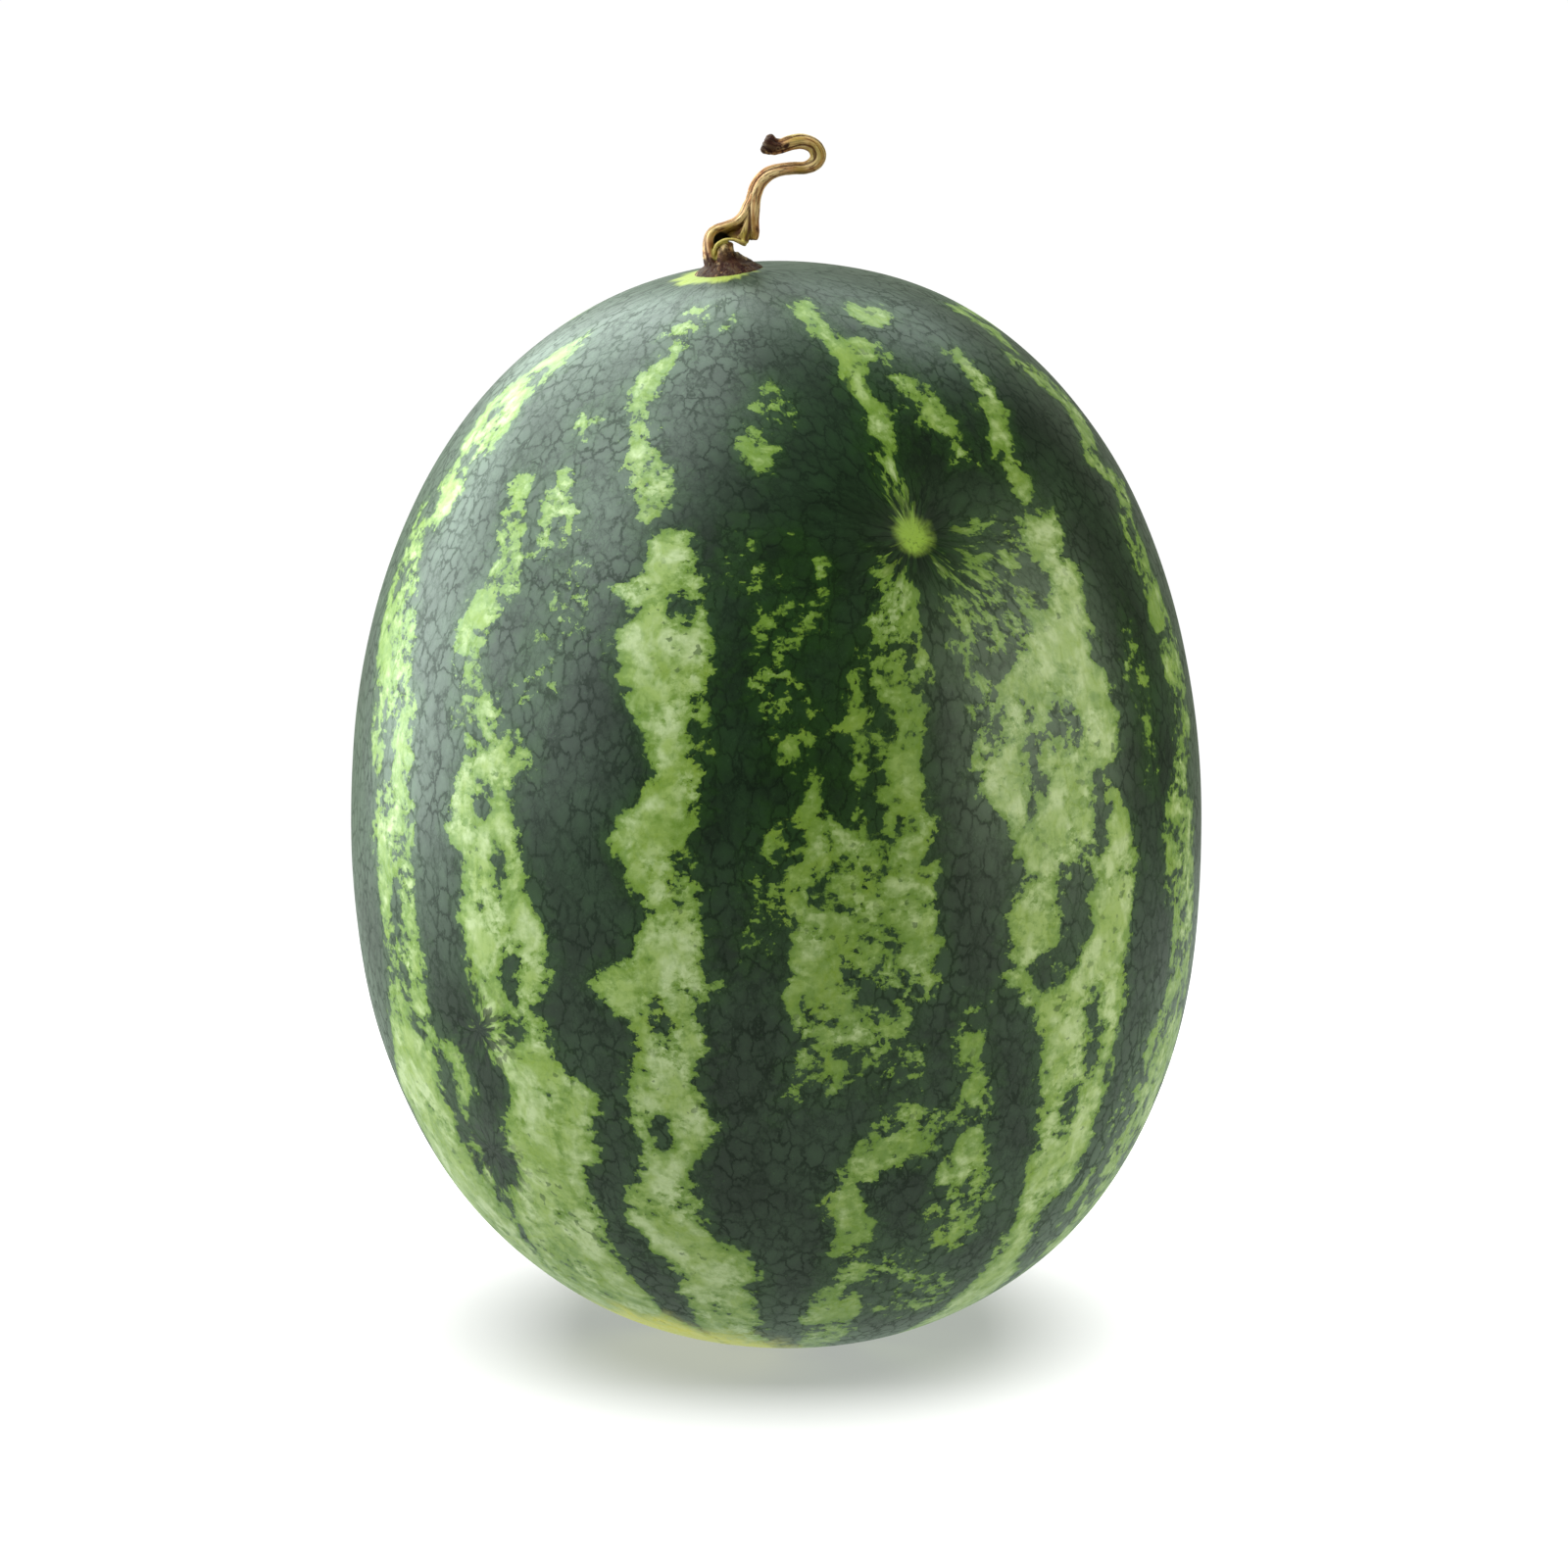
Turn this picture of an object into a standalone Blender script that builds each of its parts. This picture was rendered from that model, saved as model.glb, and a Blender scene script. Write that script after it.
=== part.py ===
"""A striped watermelon standing on its blossom end, with its dried stem still on.

Metres, +Z up. The origin is the centre of the flat spot that the fruit rests on.
-Y is the side that shows the split in the stem, and +X is to the right from there.
"""

import math

import bmesh
import bpy
from mathutils import Matrix, Vector

MM = 0.001

# The fruit: a turned body whose two halves are superellipses (an exponent of 2 is an ellipse).
FRUIT_WIDTH = 0.250
FRUIT_HEIGHT = 0.317
WIDEST_HEIGHT = 0.150
SHOULDER_EXPONENT = 2.16
BASE_EXPONENT = 2.24
REST_SPOT_RADIUS = 0.022
SEGMENTS = 56
RINGS_PER_HALF = 16

# The fruit grew with a slight bow: its middle line is a parabola, furthest over at this share of its height.
BOW = 0.008
BOW_TURNS_AT = 0.66

# The stem stands off the middle of the crown, at this X and Y, and its foot keeps this gap to the skin.
STEM_PLACE = (-0.0168, -0.012)
SKIN_GAP = 0.3 * MM
STEM_SIDES = 14
STATIONS_PER_SPAN = 3

# The stem's measures are in millimetres from the point where it meets the skin.
# Foot: radius and height of the flare that grips the crown, whose lower part is cut to the skin.
FOOT_OUTLINE = [
    (0.0, -4.0),
    (9.8, -4.0),
    (9.6, -0.4),
    (8.9, 0.6),
    (7.4, 1.4),
    (6.0, 2.5),
    (5.0, 4.0),
    (4.2, 5.4),
    (0.0, 5.4),
]

# Neck: x, y, z and radius from inside the foot, up its left side and over into the kink.
NECK_ROUTE = [
    (-1.0, 0.0, -1.0, 4.8),
    (-1.9, 0.0, 2.6, 4.9),
    (-2.5, 0.0, 6.2, 4.5),
    (-2.5, 0.0, 8.6, 4.1),
    (-0.6, 0.0, 10.4, 3.7),
    (2.2, 0.0, 10.9, 3.5),
    (5.0, 0.0, 11.2, 2.8),
]

# Stalk: from the corner of the kink up through the hook to the swollen end where the vine broke off.
STALK_ROUTE = [
    (5.6, 0.0, 7.4, 2.3),
    (6.0, 0.0, 9.6, 3.1),
    (6.5, 0.0, 13.0, 2.9),
    (6.9, 0.0, 16.6, 2.4),
    (7.5, 0.2, 20.6, 2.05),
    (9.0, 0.4, 24.4, 2.05),
    (11.7, 0.6, 27.3, 2.05),
    (15.0, 0.6, 28.6, 1.85),
    (18.8, 0.4, 29.1, 1.8),
    (22.5, 0.0, 29.3, 1.8),
    (25.2, -0.3, 30.7, 2.1),
    (26.2, -0.6, 33.1, 2.3),
    (24.9, -0.9, 35.7, 2.3),
    (21.9, -1.1, 37.0, 2.2),
    (18.7, -1.2, 36.7, 2.15),
    (15.8, -1.2, 35.7, 2.1),
    (13.6, -1.2, 35.5, 2.7),
    (11.8, -1.2, 36.0, 3.0),
    (10.4, -1.2, 36.5, 2.3),
]

# The skin split open where the stem kinked: the hollow's middle, half sizes and tilt.
SPLIT_CENTRE = (-0.9, -3.6, 9.9)
SPLIT_HALF_SIZES = (3.3, 2.8, 1.5)
SPLIT_TILT = math.radians(-14)


def clear_scene():
    for obj in list(bpy.data.objects):
        bpy.data.objects.remove(obj, do_unlink=True)


def make_material(name, colour, roughness):
    material = bpy.data.materials.new(name)
    material.use_nodes = True
    shader = material.node_tree.nodes["Principled BSDF"]
    shader.inputs["Base Color"].default_value = (*colour, 1.0)
    shader.inputs["Roughness"].default_value = roughness
    shader.inputs["Metallic"].default_value = 0.0
    return material


def bow(height):
    """How far the fruit's middle line lies to the side at this height, from where it rests."""
    share = height / FRUIT_HEIGHT
    return BOW * ((share - BOW_TURNS_AT) ** 2 - BOW_TURNS_AT**2)


def lower_depth():
    """From the widest section down to where the base would end if it weren't flattened."""
    flat = (2 * REST_SPOT_RADIUS / FRUIT_WIDTH) ** BASE_EXPONENT
    return WIDEST_HEIGHT / (1 - flat) ** (1 / BASE_EXPONENT)


def fruit_profile():
    """Radius and height of each ring, from the rim of the flat spot to the crown."""
    half_width = FRUIT_WIDTH / 2
    upper = FRUIT_HEIGHT - WIDEST_HEIGHT
    lower = lower_depth()
    lowest = math.asin((WIDEST_HEIGHT / lower) ** (BASE_EXPONENT / 2))
    profile = []
    for step in range(RINGS_PER_HALF):
        angle = lowest * (1 - step / RINGS_PER_HALF)
        radius = half_width * math.cos(angle) ** (2 / BASE_EXPONENT)
        profile.append((radius, WIDEST_HEIGHT - lower * math.sin(angle) ** (2 / BASE_EXPONENT)))
    for step in range(RINGS_PER_HALF):
        angle = math.pi / 2 * step / RINGS_PER_HALF
        radius = half_width * math.cos(angle) ** (2 / SHOULDER_EXPONENT)
        profile.append((radius, WIDEST_HEIGHT + upper * math.sin(angle) ** (2 / SHOULDER_EXPONENT)))
    return profile


def crown_height(x, y):
    """Height of the upper half's skin at this X and Y."""
    upper = FRUIT_HEIGHT - WIDEST_HEIGHT
    from_middle = math.hypot(x - bow(FRUIT_HEIGHT), y) / (FRUIT_WIDTH / 2)
    return WIDEST_HEIGHT + upper * (1 - from_middle**SHOULDER_EXPONENT) ** (1 / SHOULDER_EXPONENT)


def turn(outline, steps):
    """A closed body turned round Z from an outline of radii and heights."""
    bm = bmesh.new()
    points = [bm.verts.new((radius, 0.0, height)) for radius, height in outline]
    edges = [bm.edges.new(pair) for pair in zip(points, points[1:])]
    bmesh.ops.spin(
        bm,
        geom=points + edges,
        cent=(0, 0, 0),
        axis=(0, 0, 1),
        angle=2 * math.pi,
        steps=steps,
        use_merge=True,
    )
    bmesh.ops.remove_doubles(bm, verts=bm.verts, dist=0.01 * MM)
    bmesh.ops.recalc_face_normals(bm, faces=bm.faces)
    return bm


def fruit_mesh(name, grown=0.0):
    """The turned and bowed body, with its skin moved out by grown."""
    rim, *rings = fruit_profile()
    bm = turn([(0.0, 0.0), (rim[0], 0.0), *rings, (0.0, FRUIT_HEIGHT)], SEGMENTS)
    for vert in bm.verts:
        vert.co.x += bow(vert.co.z)
    bm.normal_update()
    if grown:
        moves = [(vert, vert.normal.copy()) for vert in bm.verts]
        for vert, outwards in moves:
            vert.co += outwards * grown
    mesh = bpy.data.meshes.new(name)
    bm.to_mesh(mesh)
    bm.free()
    mesh.shade_smooth()
    mesh.set_sharp_from_angle(angle=math.radians(40))
    return mesh


def smooth_route(route):
    """Points and radii along a Catmull-Rom curve through the route, in metres."""
    stations = [Vector(station) * MM for station in route]
    found = []
    for i in range(len(stations) - 1):
        before = stations[max(i - 1, 0)]
        start, end = stations[i], stations[i + 1]
        after = stations[min(i + 2, len(stations) - 1)]
        for step in range(STATIONS_PER_SPAN):
            t = step / STATIONS_PER_SPAN
            found.append(
                0.5
                * (
                    2 * start
                    + (end - before) * t
                    + (2 * before - 5 * start + 4 * end - after) * t**2
                    + (3 * start - before - 3 * end + after) * t**3
                )
            )
    found.append(stations[-1])
    return [(point.xyz, point.w) for point in found]


def tube_mesh(name, route, foot):
    """A closed round tube that follows a route from the foot, with pointed ends."""
    stations = smooth_route(route)
    bm = bmesh.new()
    rings = []
    for i, (point, radius) in enumerate(stations):
        ahead = stations[min(i + 1, len(stations) - 1)][0]
        behind = stations[max(i - 1, 0)][0]
        along = (ahead - behind).normalized()
        side = along.cross(Vector((0, 1, 0))).normalized()
        turn = Matrix((side, Vector((0, 1, 0)), side.cross(Vector((0, 1, 0))))).transposed()
        place = Matrix.Translation(foot + point) @ turn.to_4x4()
        made = bmesh.ops.create_circle(bm, segments=STEM_SIDES, radius=radius, matrix=place)
        rings.append({edge for vert in made["verts"] for edge in vert.link_edges})
    for ring, following in zip(rings, rings[1:]):
        bmesh.ops.bridge_loops(bm, edges=list(ring | following))
    for ring, (point, radius), inner in (
        (rings[0], stations[0], stations[1][0]),
        (rings[-1], stations[-1], stations[-2][0]),
    ):
        tip = bm.verts.new(foot + point + (point - inner).normalized() * radius * 0.45)
        for edge in ring:
            bm.faces.new((*edge.verts, tip))
    bmesh.ops.recalc_face_normals(bm, faces=bm.faces)
    mesh = bpy.data.meshes.new(name)
    bm.to_mesh(mesh)
    bm.free()
    mesh.shade_smooth()
    return mesh


def foot_mesh(foot):
    """The flare at the bottom of the stem, still reaching into the fruit."""
    bm = turn([(radius * MM, height * MM) for radius, height in FOOT_OUTLINE], STEM_SIDES * 2)
    bmesh.ops.translate(bm, verts=bm.verts, vec=foot)
    mesh = bpy.data.meshes.new("stem")
    bm.to_mesh(mesh)
    bm.free()
    mesh.shade_smooth()
    return mesh


def split_mesh(foot):
    """The ellipsoid that hollows out the kink."""
    bm = bmesh.new()
    place = Matrix.Translation(foot + Vector(SPLIT_CENTRE) * MM)
    turn = Matrix.Rotation(SPLIT_TILT, 4, "Y")
    size = Matrix.Diagonal((*(Vector(SPLIT_HALF_SIZES) * MM), 1.0))
    bmesh.ops.create_icosphere(bm, subdivisions=3, radius=1.0, matrix=place @ turn @ size)
    mesh = bpy.data.meshes.new("split")
    bm.to_mesh(mesh)
    bm.free()
    return mesh


def add_object(name, mesh, material=None):
    obj = bpy.data.objects.new(name, mesh)
    bpy.context.scene.collection.objects.link(obj)
    if material:
        mesh.materials.append(material)
    return obj


def add_helper(name, mesh):
    """A cutter or a piece to be joined, which isn't a part of its own."""
    helper = add_object(name, mesh)
    helper.hide_render = True
    helper.display_type = "WIRE"
    return helper


def add_boolean(obj, operation, other):
    modifier = obj.modifiers.new(f"{operation.lower()}_{other.name}", "BOOLEAN")
    modifier.operation = operation
    modifier.object = other


def build_fruit():
    rind = make_material("rind", (0.030, 0.085, 0.035), 0.35)
    add_object("melon", fruit_mesh("melon"), rind)


def build_stem():
    dry_stem = make_material("dry_stem", (0.36, 0.22, 0.09), 0.8)
    foot = Vector((*STEM_PLACE, crown_height(*STEM_PLACE)))
    stem = add_object("stem", foot_mesh(foot), dry_stem)
    add_boolean(stem, "UNION", add_helper("neck", tube_mesh("neck", NECK_ROUTE, foot)))
    add_boolean(stem, "UNION", add_helper("stalk", tube_mesh("stalk", STALK_ROUTE, foot)))
    add_boolean(stem, "DIFFERENCE", add_helper("split", split_mesh(foot)))
    add_boolean(stem, "DIFFERENCE", add_helper("skin", fruit_mesh("skin", SKIN_GAP)))


def main():
    clear_scene()
    build_fruit()
    build_stem()


main()
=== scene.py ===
"""A striped watermelon standing on its blossom end, with its dried stem still on.

Metres, in the frame's own axes: +Z up, -Y towards the viewer. Outlines on the skin are given by
height in millimetres and by degrees round the fruit, 0 facing the viewer and positive to the right.
"""

import math

import bmesh
import bpy
import numpy as np
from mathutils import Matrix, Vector, kdtree
from mathutils import noise as folds


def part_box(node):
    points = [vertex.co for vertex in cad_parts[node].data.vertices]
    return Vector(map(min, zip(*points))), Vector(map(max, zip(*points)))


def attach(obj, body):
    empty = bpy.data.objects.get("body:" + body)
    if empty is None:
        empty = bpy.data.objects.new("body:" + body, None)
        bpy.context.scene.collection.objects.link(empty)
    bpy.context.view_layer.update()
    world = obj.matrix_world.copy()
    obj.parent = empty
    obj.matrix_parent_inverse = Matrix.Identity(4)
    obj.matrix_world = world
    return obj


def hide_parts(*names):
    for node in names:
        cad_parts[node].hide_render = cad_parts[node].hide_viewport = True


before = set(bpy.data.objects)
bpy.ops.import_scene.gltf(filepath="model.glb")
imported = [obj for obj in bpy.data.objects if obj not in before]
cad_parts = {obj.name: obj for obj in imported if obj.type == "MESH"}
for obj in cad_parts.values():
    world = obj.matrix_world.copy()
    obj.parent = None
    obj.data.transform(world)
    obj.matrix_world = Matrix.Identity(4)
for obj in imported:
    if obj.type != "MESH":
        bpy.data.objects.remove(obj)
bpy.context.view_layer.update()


# ---------------------------------------------------------------------------------------------
# Camera. It stands a long arm's length off and looks slightly down on the fruit.

CAMERA_AIM = Vector((-0.001, 0.0, 0.1639))
CAMERA_DISTANCE = 1.28
CAMERA_RISE = math.radians(10)
CAMERA_LENS = 100

lens = bpy.data.cameras.new("camera")
lens.lens = CAMERA_LENS
lens.sensor_width = 36
camera = bpy.data.objects.new("camera", lens)
camera.location = CAMERA_AIM + CAMERA_DISTANCE * Vector((0, -math.cos(CAMERA_RISE), math.sin(CAMERA_RISE)))
camera.rotation_euler = (math.pi / 2 - CAMERA_RISE, 0, 0)
bpy.context.scene.collection.objects.link(camera)
bpy.context.scene.camera = camera
bpy.context.scene.view_settings.view_transform = "Standard"


# ---------------------------------------------------------------------------------------------
# The fruit. One grown piece: a thick waxy rind, a little slimmer at the stem end, bowed to one
# side as it lay on the field, and pressed flat where it stands. The skin dips at an old scar
# and at two places where the growing rind puckered.

MM = 0.001
fruit_low, fruit_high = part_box("melon")
FRUIT_WIDTH = fruit_high[1] - fruit_low[1]
FRUIT_HEIGHT = fruit_high[2] - fruit_low[2]
WIDEST_HEIGHT = 0.150
SHOULDER_EXPONENT = 2.16
BASE_EXPONENT = 2.24
REST_SPOT_RADIUS = 0.022
BOW = 0.008
BOW_TURNS_AT = 0.66
STEM_PLACE = (-0.0168, -0.012)
GATHERS_FROM = 0.20
MERIDIANS = 400
RINGS = 240
OUTLINE_STEPS = 4000
LUMPS_PER_METRE = 28
LUMP_HEIGHT = 0.35 * MM
STANDS_CLEAR = 0.012


def bow(height):
    """How far the middle line lies to the side at this height, from where the fruit rests."""
    return BOW * ((height / FRUIT_HEIGHT - BOW_TURNS_AT) ** 2 - BOW_TURNS_AT**2)


def fruit_outline(count):
    """Radii, heights and lengths along the skin, evenly spaced from under the base to the crown."""
    half = FRUIT_WIDTH / 2
    upper = FRUIT_HEIGHT - WIDEST_HEIGHT
    lower = WIDEST_HEIGHT / (1 - (REST_SPOT_RADIUS / half) ** BASE_EXPONENT) ** (1 / BASE_EXPONENT)
    swing = np.linspace(-math.pi / 2, math.pi / 2, OUTLINE_STEPS + 1)
    power = np.where(swing < 0, 2 / BASE_EXPONENT, 2 / SHOULDER_EXPONENT)
    radii = half * np.cos(swing).clip(0) ** power
    rise = np.abs(np.sin(swing)) ** power
    heights = WIDEST_HEIGHT + np.where(swing < 0, -lower * rise, upper * rise)
    heights = np.maximum(heights, 0)
    steps = np.hypot(np.diff(radii), np.diff(heights))
    length = np.concatenate([[0], np.cumsum(steps)])
    even = np.linspace(0, length[-1], count)
    return np.interp(even, length, radii), np.interp(even, length, heights), even


def smooth_step(value, low, high):
    """0 below low, 1 above high, and smooth from one to the other."""
    share = np.clip((value - low) / (high - low), 0, 1)
    return share * share * (3 - 2 * share)


def skin_point(height, degrees):
    """A point on the skin, on the pattern's own meridians."""
    radii, heights, _ = fruit_outline(OUTLINE_STEPS // 2)
    radius = np.interp(height * MM, heights, radii)
    turn = math.radians(degrees)
    return Vector((bow(height * MM) + radius * math.sin(turn), -radius * math.cos(turn), height * MM))


# Old scar, and the two puckers low on the left.
SCAR = skin_point(249.6, 21.3)
PUCKERS = (skin_point(109.6, -43.1), skin_point(71.2, -47.2))

ring_radii, ring_heights, ring_lengths = fruit_outline(RINGS + 1)
turns = np.linspace(0, 2 * math.pi, MERIDIANS, endpoint=False)
skin = np.empty((RINGS + 1, MERIDIANS, 3))
skin[..., 0] = bow(ring_heights)[:, None] + ring_radii[:, None] * np.sin(turns)
skin[..., 1] = -ring_radii[:, None] * np.cos(turns)
skin[..., 2] = ring_heights[:, None]
skin = skin[1:-1].reshape(-1, 3)
poles = np.array([(0.0, 0.0, 0.0), (bow(FRUIT_HEIGHT), 0.0, FRUIT_HEIGHT)])
skin = np.concatenate([skin, poles])

faces = []
for ring in range(RINGS - 2):
    start = ring * MERIDIANS
    following = start + MERIDIANS
    for step in range(MERIDIANS):
        ahead = (step + 1) % MERIDIANS
        faces.append((start + step, start + ahead, following + ahead, following + step))
base_pole, crown_pole = len(skin) - 2, len(skin) - 1
last_ring = (RINGS - 2) * MERIDIANS
for step in range(MERIDIANS):
    ahead = (step + 1) % MERIDIANS
    faces.append((base_pole, ahead, step))
    faces.append((crown_pole, last_ring + step, last_ring + ahead))

# Where each point of the skin lies on the stripes' own meridians, which meet under the stem.
skin_height = skin[:, 2] / MM


def from_middle(points):
    """How far points lie from the stripes' middle line, sideways and in depth."""
    gather = smooth_step(points[:, 2], GATHERS_FROM, FRUIT_HEIGHT)
    middle_x = bow(points[:, 2]) * (1 - gather) + STEM_PLACE[0] * gather
    return points[:, 0] - middle_x, points[:, 1] - STEM_PLACE[1] * gather


across_x, across_y = from_middle(skin)
skin_degrees = np.degrees(np.arctan2(across_x, -across_y))
skin_radius = np.hypot(across_x, across_y) / MM
under = skin[:, 2] < 0.5 * MM
along_skin = np.interp(skin[:, 2], ring_heights[1:], ring_lengths[1:]) / MM
along_skin[under] = skin_radius[under]


# ---------------------------------------------------------------------------------------------
# The stripes. A watermelon's stripes run from the stem to the blossom end. They are chains of
# pale blotches where the rind lacks its dark green, so each is drawn by its left and right
# edges, and by how solid it is: how many millimetres of ragged edge it takes to break it up.

STRIPES = [
    (3.0, [  # the clearest stripe, left of the middle, above its gap
        (305, -18, -15), (294, -21, -16), (287, -27, -21), (276, -25, -19),
        (266, -22, -13), (258, -21, -13), (253, -19, -16),
    ]),
    (4.2, [  # the same stripe down to the base
        (248, -17, -11), (239, -18, -9), (235, -25, -10), (231, -18, -8), (222, -22, -8),
        (210, -20, -8), (201, -17, -8), (187, -15, -9), (178, -18, -10), (169, -21, -11),
        (163, -20, -10), (150, -16, -9), (137, -20, -10), (129, -24, -8), (123, -22, -9),
        (115, -18, -9), (102, -20, -11), (90, -20, -8), (79, -19, -12), (72, -21, -13),
        (58, -24, -12), (50, -22, -6), (40, -18, -5), (15, -20, -6), (2, -24, -4),
    ]),
    (1.0, [  # second from the left, thin and broken near the top
        (260, -46, -43), (250, -46, -41), (240, -45, -40), (233, -46, -39), (222, -48, -43),
        (214, -47, -43), (203, -46, -40), (195, -46, -34), (189, -42, -33),
    ]),
    (3.2, [  # the same stripe down to the base
        (189, -42, -33), (181, -45, -36),
        (169, -46, -35), (156, -44, -33), (141, -44, -30), (133, -43, -30), (120, -43, -33), (105, -43, -30),
    ]),
    (3.6, [  # its lower half
        (105, -43, -30), (96, -38, -24), (87, -40, -26), (78, -43, -26), (69, -42, -30),
        (56, -48, -29), (40, -51, -29), (28, -54, -27), (14, -57, -22), (2, -58, -20),
    ]),
    (3.6, [  # left shoulder
        (297, -66, -60), (291, -69, -58), (281, -79, -58), (271, -76, -59), (262, -72, -63),
        (254, -71, -61), (248, -69, -63),
    ]),
    (1.0, [  # left side, broken near the top
        (248, -77, -72), (238, -76, -67), (225, -74, -61), (209, -72, -59), (199, -69, -56),
    ]),
    (1.3, [  # the same stripe down to the base
        (199, -69, -56), (182, -68, -55), (167, -64, -55), (159, -67, -54), (150, -65, -55), (134, -63, -54),
        (117, -64, -53), (104, -66, -50),
    ]),
    (4.2, [  # and its broad, chalky foot
        (104, -67, -48), (91, -70, -46), (79, -75, -51), (71, -71, -49),
        (52, -73, -50), (30, -76, -53), (2, -80, -56),
    ]),
    (4.0, [  # the streak that runs down to the scar
        (307, 27, 33), (298, 27, 33), (285, 25, 31), (274, 25.5, 29.5), (258, 23.5, 26), (251, 22.5, 24.5),
    ]),
    (1.1, [  # right of the middle, under the scar
        (243, 18, 21), (230, 16, 21), (222, 13, 21), (213, 10, 21), (198, 9, 19),
        (183, 10, 18), (174, 9, 20), (170, 2, 20), (160, 1, 20), (148, 1, 20), (140, 3, 20),
        (131, 2, 20), (122, 2, 18), (114, 4, 15), (106, 2, 11), (99, 1, 7),
    ]),
    (1.2, [  # its lower blotches
        (95, 13, 18), (92, 13, 19), (81, 9, 19), (74, 9, 13), (69, 7, 11), (56, 9, 14),
        (42, 7, 15), (24, 5, 15), (4, 4, 16),
    ]),
    (0.4, [  # specks below the scar
        (226, 25, 28), (210, 25, 29), (199, 26, 29), (190, 26, 28),
    ]),
    (1.2, [  # a short one, low on the right
        (120, 24, 26), (112, 24, 27), (102, 23, 28), (84, 25, 29), (76, 22, 30), (62, 24, 31),
        (50, 25, 29),
    ]),
    (1.5, [  # two short ones, high on the right
        (287, 41, 46), (276, 38, 42), (270, 39, 42),
    ]),
    (2.0, [(294, 57, 62), (288, 56, 61), (279, 52, 57), (267, 47, 51), (257, 46, 50)]),
    (4.2, [  # the broad stripe on the right
        (250, 43, 52), (241, 42, 50), (238, 45, 53), (226, 42, 50), (220, 37, 49),
        (213, 32, 48), (205, 30, 52), (194, 31, 51), (188, 27, 51), (182, 27, 47),
        (175, 29, 50), (165, 31, 53), (155, 33, 54), (147, 30, 53), (138, 31, 52),
        (129, 31, 51), (120, 33, 52), (110, 36, 52), (101, 37, 51), (82, 39, 51), (72, 38, 51),
        (63, 39, 51), (54, 40, 46), (39, 39, 48), (25, 38, 56), (2, 36, 60),
    ]),
    (0.9, [  # right side
        (304, 86, 97), (296, 80, 88), (290, 75, 83), (280, 80, 90), (270, 76, 84),
        (263, 71, 77), (255, 76, 84), (246, 70, 76), (233, 68, 74), (215, 67, 75),
        (200, 68, 76), (185, 68, 75), (172, 64, 73), (160, 61, 73), (145, 62, 73),
        (135, 65, 75), (120, 65, 75), (105, 62, 76), (85, 60, 79), (66, 61, 77),
        (50, 59, 75), (28, 60, 78), (2, 62, 82),
    ]),
    (1.0, [  # a thin one on the left, at the start of the hidden side
        (236, -93, -88), (200, -92, -87), (165, -90, -86), (140, -93, -88), (120, -92, -88),
    ]),
]

# Loose blotches: height, degrees, half height and half width in millimetres, and how solid.
BLOTCHES = [
    (276, -34, 4, 3, -0.6),
    (258, -36, 6, 4, 1.0),
    (250, -33.5, 8, 5, 1.2),
    (272, 3, 5, 3, -0.8),
    (283, 8, 6, 4, 0.2),
    (286, 40, 5, 4, 1.4),
    (296, 38, 5, 5, 1.0),
    (305, 50, 4, 6, 0.8),
    (234, 35, 16, 17, -0.9),
    (243, 37, 9, 12, -0.4),
    (226, 30, 14, 9, -1.2),
    (212, 0, 12, 5, -0.2),
    (196, 4, 10, 5, 0.2),
    (180, 6, 9, 6, 0.6),
    (236, 6, 10, 5, -0.8),
    (106, 14, 9, 8, -0.6),
    (163, 0, 8, 4, -0.4),
    (150, -2, 8, 3, -1.0),
    (86, -33, 14, 9, 2.5),
    (60, 28, 10, 9, 0.2),
    (30, 26, 12, 12, -0.6),
    (40, 20, 9, 8, -0.8),
    (200, 58, 14, 5, -1.0),
    (84, 20, 8, 10, -0.8),
    (60, 58, 30, 6, -1.5),
    (234, -29, 7, 5, -1.6),
    (214, -33, 7, 5, -1.8),
    (244, -3, 5, 4, -1.4),
    (304, -6, 5, 5, -1.2),
]

# Dark islands inside the stripes, in the same terms.
ISLANDS = [
    (192, 7, 18, 5),
    (188, 13, 6, 4),
    (146, 41, 13, 6),
    (118, -14.4, 4.5, 3.4),
    (276, -17, 4, 3),
    (232, -12, 4, 3),
    (104, 46, 6, 3),
    (196, 40, 5, 6),
    (109.6, -43.1, 8, 4),
    (71.2, -47.2, 9, 5),
    (90, -52, 24, 3.5),
    (60, 35, 30, 5),
    (190, 35, 12, 2.2),
    (232, 22.5, 17, 2.4),
    (175, -40, 5, 3),
    (158, -37, 5, 2.5),
    (128, -36, 5, 3),
    (112, -36, 4, 4),
    (196, -10, 6, 2),
    (163, -12, 5, 2.2),
    (88, -16, 4, 3),
    (172, 46, 7, 3),
    (130, 36, 5, 3),
    (116, 45, 4, 3),
    (90, 44, 6, 3),
    (128, 12, 4, 5),
    (112, 9, 3, 4),
    (228, -71, 5, 4),
    (184, -62, 6, 3),
    (264, -67, 4, 4),
    (287, -64, 3, 4),
    (276, -70, 3, 3),
    (140, -59, 7, 3),
]

# In millimetres: how far a stripe spills past its drawn ends, how far outside every stripe the
# plain dark rind counts as, and the same for the middle of a dark island.
END_SPILL = 2
PLAIN_DEPTH = -12.0
ISLAND_DEPTH = -4.0

# The hidden side's stripes: degrees, width in degrees, how solid, and a number that sets their wander.
BACK_STRIPES = [
    (101, 11, 3.0, 1),
    (127, 15, 2.2, 2),
    (153, 10, 3.6, 3),
    (178, 14, 2.6, 4),
    (-156, 12, 3.8, 5),
    (-131, 14, 2.4, 6),
    (-107, 10, 3.0, 7),
]

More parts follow.
